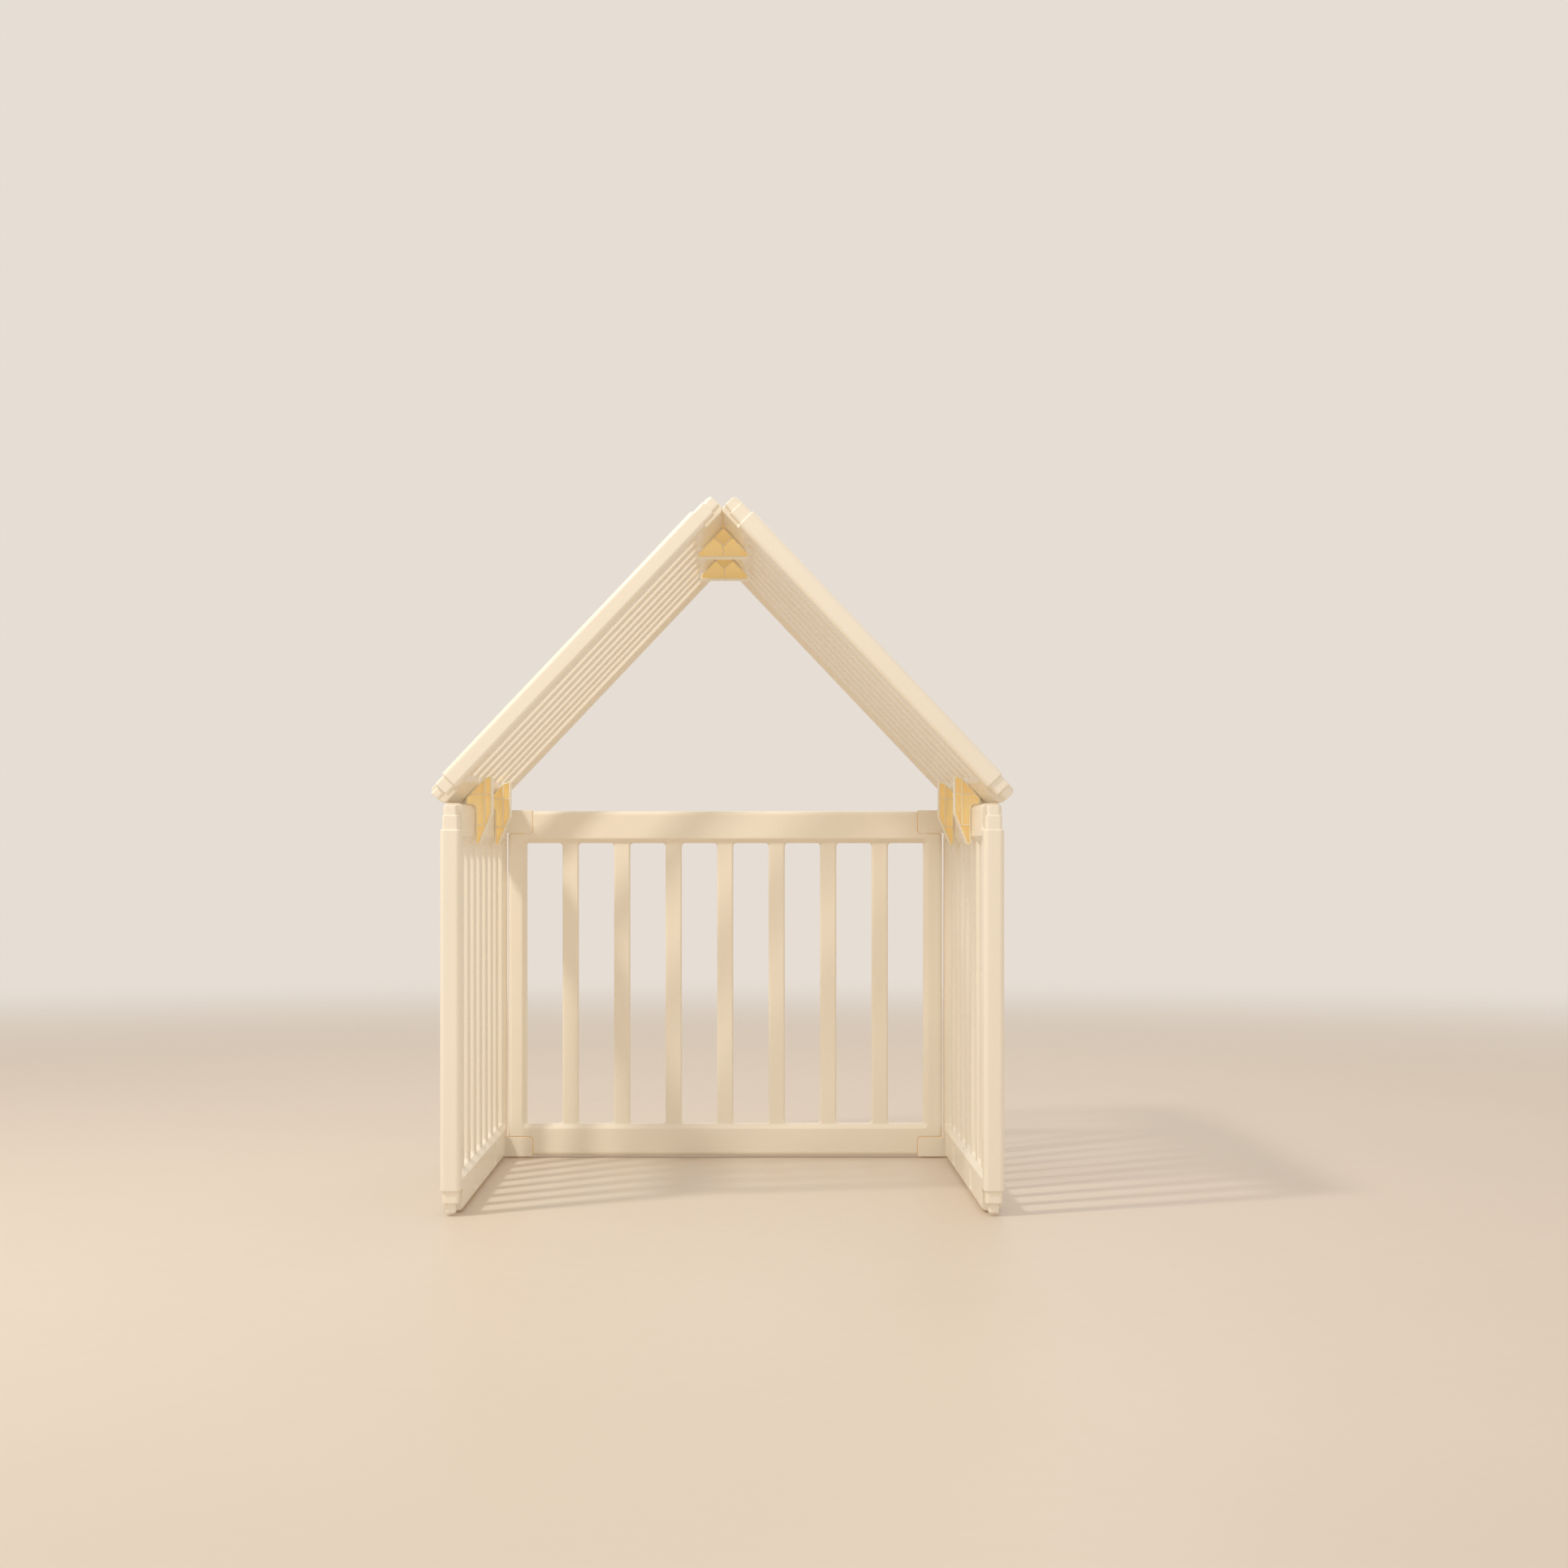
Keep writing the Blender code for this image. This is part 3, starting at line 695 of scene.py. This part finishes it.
def ridge_bracket(y):
    """Bracket under the ridge: it seats on both slopes and plugs into the right one."""
    crease = slope_z(0, CLEARANCE)
    shoulder = slope_z(RIDGE_HALF_W, CLEARANCE)
    foot = shoulder - RIDGE_LIP
    corners = [
        (0, crease),
        (-RIDGE_HALF_W, shoulder),
        (-RIDGE_HALF_W, foot),
        (RIDGE_HALF_W, foot),
        (RIDGE_HALF_W, shoulder),
    ]
    radii = [RIDGE_PEAK_R, BRACKET_CORNER_R, RIDGE_FOOT_R, RIDGE_FOOT_R, BRACKET_CORNER_R]
    tray = make_tray(corners, radii, y)
    low_point = (0, crease - RIDGE_DIAMOND_Z)
    rise = slope_z(RIDGE_DIAMOND, CLEARANCE + BRACKET_RIM / 2)
    ribs = [
        (low_point, (-RIDGE_DIAMOND, rise)),
        (low_point, (RIDGE_DIAMOND, rise)),
        ((0, foot + BRACKET_RIM / 2), (0, crease - RIDGE_DIAMOND_Z + BRACKET_RIB / 2)),
    ]
    add_ribs(tray, ribs, y)
    middle = PANEL_H - SOCKET_INSET
    half = SOCKET_H / 2 - PLUG_INSET
    join(tray, slope_plug(y, middle - half, middle + half))
    return take_mesh(tray)


def pad(node):
    """Soft-edged pad in the place of its CAD node."""
    low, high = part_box(node)
    obj = soft_prism("pad", rectangle(low.x, high.x, low.y, high.y), [PAD_R] * 4, low.z, high.z,
                     PAD_EDGE_R, ring_z)
    return take_mesh(obj)


# ---------------------------------------------------------------- materials


def new_material(name):
    """Material, its node tree, its shader and the coordinates of the object that wears it."""
    material = bpy.data.materials.new(name)
    material.use_nodes = True
    tree = material.node_tree
    coords = tree.nodes.new("ShaderNodeTexCoord").outputs["Object"]
    return material, tree, tree.nodes["Principled BSDF"], coords


def feed(tree, socket, value):
    """Link a socket to another one, or set it to a number or a colour."""
    if isinstance(value, bpy.types.NodeSocket):
        tree.links.new(value, socket)
    elif isinstance(value, tuple):
        socket.default_value = (*value, 1.0)
    else:
        socket.default_value = value


def ramp(tree, value, stops):
    """Colour that goes from one (position, colour) stop to another as the value rises."""
    node = tree.nodes.new("ShaderNodeValToRGB")
    for element, (position, colour) in zip(node.color_ramp.elements, stops):
        element.position = position
        element.color = (*colour, 1.0)
    tree.links.new(value, node.inputs["Fac"])
    return node.outputs["Color"]


def noise(tree, coords, scale, detail, distortion=0.0):
    node = tree.nodes.new("ShaderNodeTexNoise")
    node.inputs["Scale"].default_value = scale
    node.inputs["Detail"].default_value = detail
    node.inputs["Distortion"].default_value = distortion
    tree.links.new(coords, node.inputs["Vector"])
    return node.outputs["Fac"]


def stretch(tree, value, low, high):
    """Map 0..1 to low..high."""
    node = tree.nodes.new("ShaderNodeMapRange")
    node.inputs["To Min"].default_value = low
    node.inputs["To Max"].default_value = high
    tree.links.new(value, node.inputs["Value"])
    return node.outputs["Result"]


def share(tree, value, start, end, interpolation="LINEAR"):
    """How far a value has come from start to end, as 0..1."""
    node = tree.nodes.new("ShaderNodeMapRange")
    node.interpolation_type = interpolation
    node.inputs["From Min"].default_value = start
    node.inputs["From Max"].default_value = end
    tree.links.new(value, node.inputs["Value"])
    return node.outputs["Result"]


def occlusion(tree, distance):
    node = tree.nodes.new("ShaderNodeAmbientOcclusion")
    node.samples = OCCLUSION_SAMPLES
    node.inputs["Distance"].default_value = distance
    return node.outputs["AO"]


def tint(tree, colour_a, colour_b, amount, blend="MIX"):
    """Mix two colours by an amount, each given as a socket or as a value.

    The mix node repeats its sockets' names for each kind of data, so colours are taken by number.
    """
    node = tree.nodes.new("ShaderNodeMix")
    node.data_type = "RGBA"
    node.blend_type = blend
    feed(tree, node.inputs["Factor"], amount)
    feed(tree, node.inputs[6], colour_a)
    feed(tree, node.inputs[7], colour_b)
    return node.outputs[2]


def bump(tree, height, distance, before=None):
    node = tree.nodes.new("ShaderNodeBump")
    node.inputs["Distance"].default_value = distance
    tree.links.new(height, node.inputs["Height"])
    if before:
        tree.links.new(before, node.inputs["Normal"])
    return node.outputs["Normal"]


def math_node(tree, operation, first, second=0.0):
    node = tree.nodes.new("ShaderNodeMath")
    node.operation = operation
    feed(tree, node.inputs[0], first)
    feed(tree, node.inputs[1], second)
    return node.outputs["Value"]


def pocket_depth(tree, coords):
    """1 at the web in the middle of a bracket's depth, 0 at its rims and at its ribs' edges: where
    painted amber light may go.
    """
    split = tree.nodes.new("ShaderNodeSeparateXYZ")
    tree.links.new(coords, split.inputs["Vector"])
    from_middle = math_node(tree, "ABSOLUTE", split.outputs["Y"])
    from_web = math_node(tree, "SUBTRACT", from_middle, SOCKET_X)
    distance = math_node(tree, "ABSOLUTE", from_web)
    return share(tree, distance, BRACKET_DEPTH / 2 - RIM_BAND, WEB_BAND)


def moulded_plastic(name, pale, deep, painted_crevice_light, reach, closed, roughness, scatter, painted_glow_strength, pockets):
    """Satin moulded plastic: clouded pigment, fine grain, painted amber light in the crevices.

    Places count as crevices as their occlusion within reach goes from the first to the second value
    of closed. There the colour gets painted amber light and the surface a painted emission, both
    standing for light that bounces in and shines through the plastic. With pockets, only places deep
    in a bracket count.
    """
    material, tree, shader, coords = new_material(name)
    cloud = noise(tree, coords, CLOUD_SCALE, detail=3.0, distortion=0.4)
    colour = tint(tree, deep, pale, stretch(tree, cloud, *CLOUD_RANGE))
    speckle = ramp(tree, noise(tree, coords, SPECKLE_SCALE, detail=1.0), SPECKLE_STOPS)
    colour = tint(tree, colour, speckle, 1.0, "MULTIPLY")
    # Painted light: occlusion marks the crevices, whose colour is tinted with painted amber light.
    amount = share(tree, occlusion(tree, reach), *closed)
    if pockets:
        amount = math_node(tree, "MULTIPLY", amount, pocket_depth(tree, coords))
    colour = tint(tree, colour, painted_crevice_light, amount)
    tree.links.new(colour, shader.inputs["Base Color"])
    # Painted emission: crevices glowing amber, standing for light let through the plastic.
    painted_glow_colour = tint(tree, (0.0, 0.0, 0.0), PAINTED_CREVICE_GLOW, amount)
    tree.links.new(painted_glow_colour, shader.inputs["Emission Color"])
    shader.inputs["Emission Strength"].default_value = painted_glow_strength
    polish = noise(tree, coords, POLISH_SCALE, detail=4.0)
    tree.links.new(stretch(tree, polish, *roughness), shader.inputs["Roughness"])
    waves = bump(tree, noise(tree, coords, WAVE_SCALE, detail=1.0), WAVE_HEIGHT)
    grain = bump(tree, noise(tree, coords, GRAIN_SCALE, detail=2.0), GRAIN_HEIGHT, waves)
    tree.links.new(grain, shader.inputs["Normal"])
    shader.inputs["IOR"].default_value = PLASTIC_IOR
    shader.inputs["Subsurface Weight"].default_value = scatter
    shader.inputs["Subsurface Radius"].default_value = SCATTER_COLOURS
    shader.inputs["Subsurface Scale"].default_value = SCATTER_REACH
    return material


def soft_rubber(name, pale, deep):
    """Matt pale rubber with a dusty surface."""
    material, tree, shader, coords = new_material(name)
    dust = noise(tree, coords, DUST_SCALE, detail=5.0)
    tree.links.new(tint(tree, deep, pale, dust), shader.inputs["Base Color"])
    polish = noise(tree, coords, RUBBER_POLISH_SCALE, detail=3.0)
    tree.links.new(stretch(tree, polish, *RUBBER_ROUGHNESS), shader.inputs["Roughness"])
    grain = bump(tree, noise(tree, coords, RUBBER_GRAIN_SCALE, detail=2.0), RUBBER_GRAIN_HEIGHT)
    tree.links.new(grain, shader.inputs["Normal"])
    return material


# Panels and couplers: cream plastic, with painted amber light and painted emission in its crevices.
CREAM = moulded_plastic(
    "cream_satin",
    pale=(0.93, 0.87, 0.75),
    deep=(0.91, 0.84, 0.71),
    painted_crevice_light=(0.98, 0.82, 0.54),
    reach=0.010,
    closed=(0.30, 0.08),
    roughness=(0.23, 0.39),
    scatter=0.0,
    painted_glow_strength=0.12,
    pockets=False,
)
# Brackets: warmer plastic, whose pocket floors get painted amber light and painted emission.
WARM = moulded_plastic(
    "warm_satin",
    pale=(0.95, 0.87, 0.70),
    deep=(0.94, 0.85, 0.66),
    painted_crevice_light=(1.00, 0.86, 0.56),
    reach=0.020,
    closed=(0.95, 0.65),
    roughness=(0.27, 0.43),
    scatter=0.4,
    painted_glow_strength=0.13,
    pockets=True,
)
RUBBER = soft_rubber("pale_rubber", pale=(0.60, 0.54, 0.45), deep=(0.50, 0.44, 0.36))


# ---------------------------------------------------------------- assembly


def piece(mesh, node, body, material, place=None):
    """Show a fine mesh instead of a CAD node, on the same body."""
    mesh.materials.clear()
    mesh.materials.append(material)
    if place:
        mesh.transform(place)
    obj = bpy.data.objects.new(node + "_fine", mesh)
    bpy.context.scene.collection.objects.link(obj)
    normals = obj.modifiers.new("flat_faces_stay_flat", "WEIGHTED_NORMAL")
    normals.keep_sharp = True
    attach(obj, body)
    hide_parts(node)


PLAIN_PANEL = make_plain_panel()
UP = Matrix.Translation((0, 0, PANEL_H / 2))
STAND = Matrix.Translation((0, BACK_Y, PANEL_LOW.z)) @ UP
piece(add_pegs(PLAIN_PANEL, (-1, 1)), "back_wall_panel", "back_wall", CREAM, STAND)
for word, side in SIDES.items():
    half = word + "_half"
    turn = Matrix.Rotation(side * math.pi / 2, 4, "Z")
    stand = Matrix.Translation((side * WALL_X, 0, PANEL_LOW.z)) @ turn @ UP
    piece(add_pegs(PLAIN_PANEL, (side,)), word + "_wall_panel", half, CREAM, stand)
    lean = Matrix.Rotation(-side * (math.pi / 2 - ROOF_PITCH), 4, "Y")
    seat = Matrix.Translation((0, -PANEL_T / 2, 0))
    slope = Matrix.Translation((side * (EAVE_X - RIDGE_CLOSING), 0, EAVE_Z)) @ lean @ turn @ seat @ UP
    piece(add_pegs(PLAIN_PANEL, ()), word + "_roof_panel", half, CREAM, slope)
    for level in ("upper", "lower"):
        piece(coupler(side, level), f"back_{word}_{level}_coupler", "back_wall", CREAM)
    for where, y in BRACKET_PLACES.items():
        piece(eave_bracket(side, y), f"{word}_{where}_eave_bracket", half, WARM)
    piece(pad(f"back_{word}_coupler_pad"), f"back_{word}_coupler_pad", "back_wall", RUBBER)
    piece(pad(word + "_wall_pad"), word + "_wall_pad", half, RUBBER)
for where, y in BRACKET_PLACES.items():
    piece(ridge_bracket(y), where + "_ridge_bracket", "right_half", WARM)
bpy.data.objects.remove(PLAIN_PANEL, do_unlink=True)
bpy.data.collections.remove(WORKSHOP)


# ---------------------------------------------------------------- stage, light and camera


def floor():
    """Plain pale floor that fades into the background far away from the object."""
    bm = bmesh.new()
    bmesh.ops.create_grid(bm, x_segments=2, y_segments=2, size=FLOOR_SIZE)
    mesh = bpy.data.meshes.new("floor")
    bm.to_mesh(mesh)
    bm.free()
    obj = bpy.data.objects.new("floor", mesh)
    bpy.context.scene.collection.objects.link(obj)
    material, tree, shader, coords = new_material("pale_floor")
    cloud = noise(tree, coords, FLOOR_CLOUD_SCALE, detail=3.0)
    tree.links.new(tint(tree, FLOOR_DARK, FLOOR_PALE, cloud), shader.inputs["Base Color"])
    polish = noise(tree, coords, FLOOR_POLISH_SCALE, detail=3.0)
    tree.links.new(stretch(tree, polish, *FLOOR_ROUGHNESS), shader.inputs["Roughness"])
    length = tree.nodes.new("ShaderNodeVectorMath")
    length.operation = "LENGTH"
    tree.links.new(coords, length.inputs[0])
    fade = share(tree, length.outputs["Value"], FADE_START, FADE_END, "SMOOTHSTEP")
    mix = tree.nodes.new("ShaderNodeMixShader")
    tree.links.new(fade, mix.inputs["Fac"])
    tree.links.new(shader.outputs["BSDF"], mix.inputs[1])
    tree.links.new(tree.nodes.new("ShaderNodeBsdfTransparent").outputs["BSDF"], mix.inputs[2])
    tree.links.new(mix.outputs["Shader"], tree.nodes["Material Output"].inputs["Surface"])
    mesh.materials.append(material)


def soft_light(name, place, size, power, colour):
    """Round area light, aimed at the middle of the object."""
    light = bpy.data.lights.new(name, "AREA")
    light.shape = "DISK"
    light.size = size
    light.energy = power
    light.color = colour
    obj = bpy.data.objects.new(name, light)
    obj.location = place
    obj.rotation_euler = (Vector(MIDDLE) - Vector(place)).to_track_quat("-Z", "Y").to_euler()
    bpy.context.scene.collection.objects.link(obj)


floor()

world = bpy.data.worlds.new("studio")
world.use_nodes = True
background = world.node_tree.nodes["Background"]
background.inputs["Color"].default_value = BACKGROUND_COLOUR
background.inputs["Strength"].default_value = BACKGROUND_STRENGTH
bpy.context.scene.world = world
bpy.context.scene.view_settings.view_transform = "Standard"

soft_light("key", place=(-1.8, -1.4, 3.1), size=0.36, power=52.0, colour=SUNNY)
soft_light("fill", place=(0.7, -5.4, 1.5), size=2.4, power=9.0, colour=NEUTRAL)
soft_light("rim", place=(0.6, 2.8, 2.6), size=1.6, power=8.0, colour=NEUTRAL)

camera = bpy.data.cameras.new("camera")
camera.sensor_fit = "HORIZONTAL"
camera.sensor_width = SENSOR
camera.lens = LENS
camera.shift_x = SHIFT_X
camera.shift_y = SHIFT_Y
camera_object = bpy.data.objects.new("camera", camera)
camera_object.location = CAMERA_PLACE
camera_object.rotation_euler = (math.pi / 2, 0.0, 0.0)
bpy.context.scene.collection.objects.link(camera_object)
bpy.context.scene.camera = camera_object
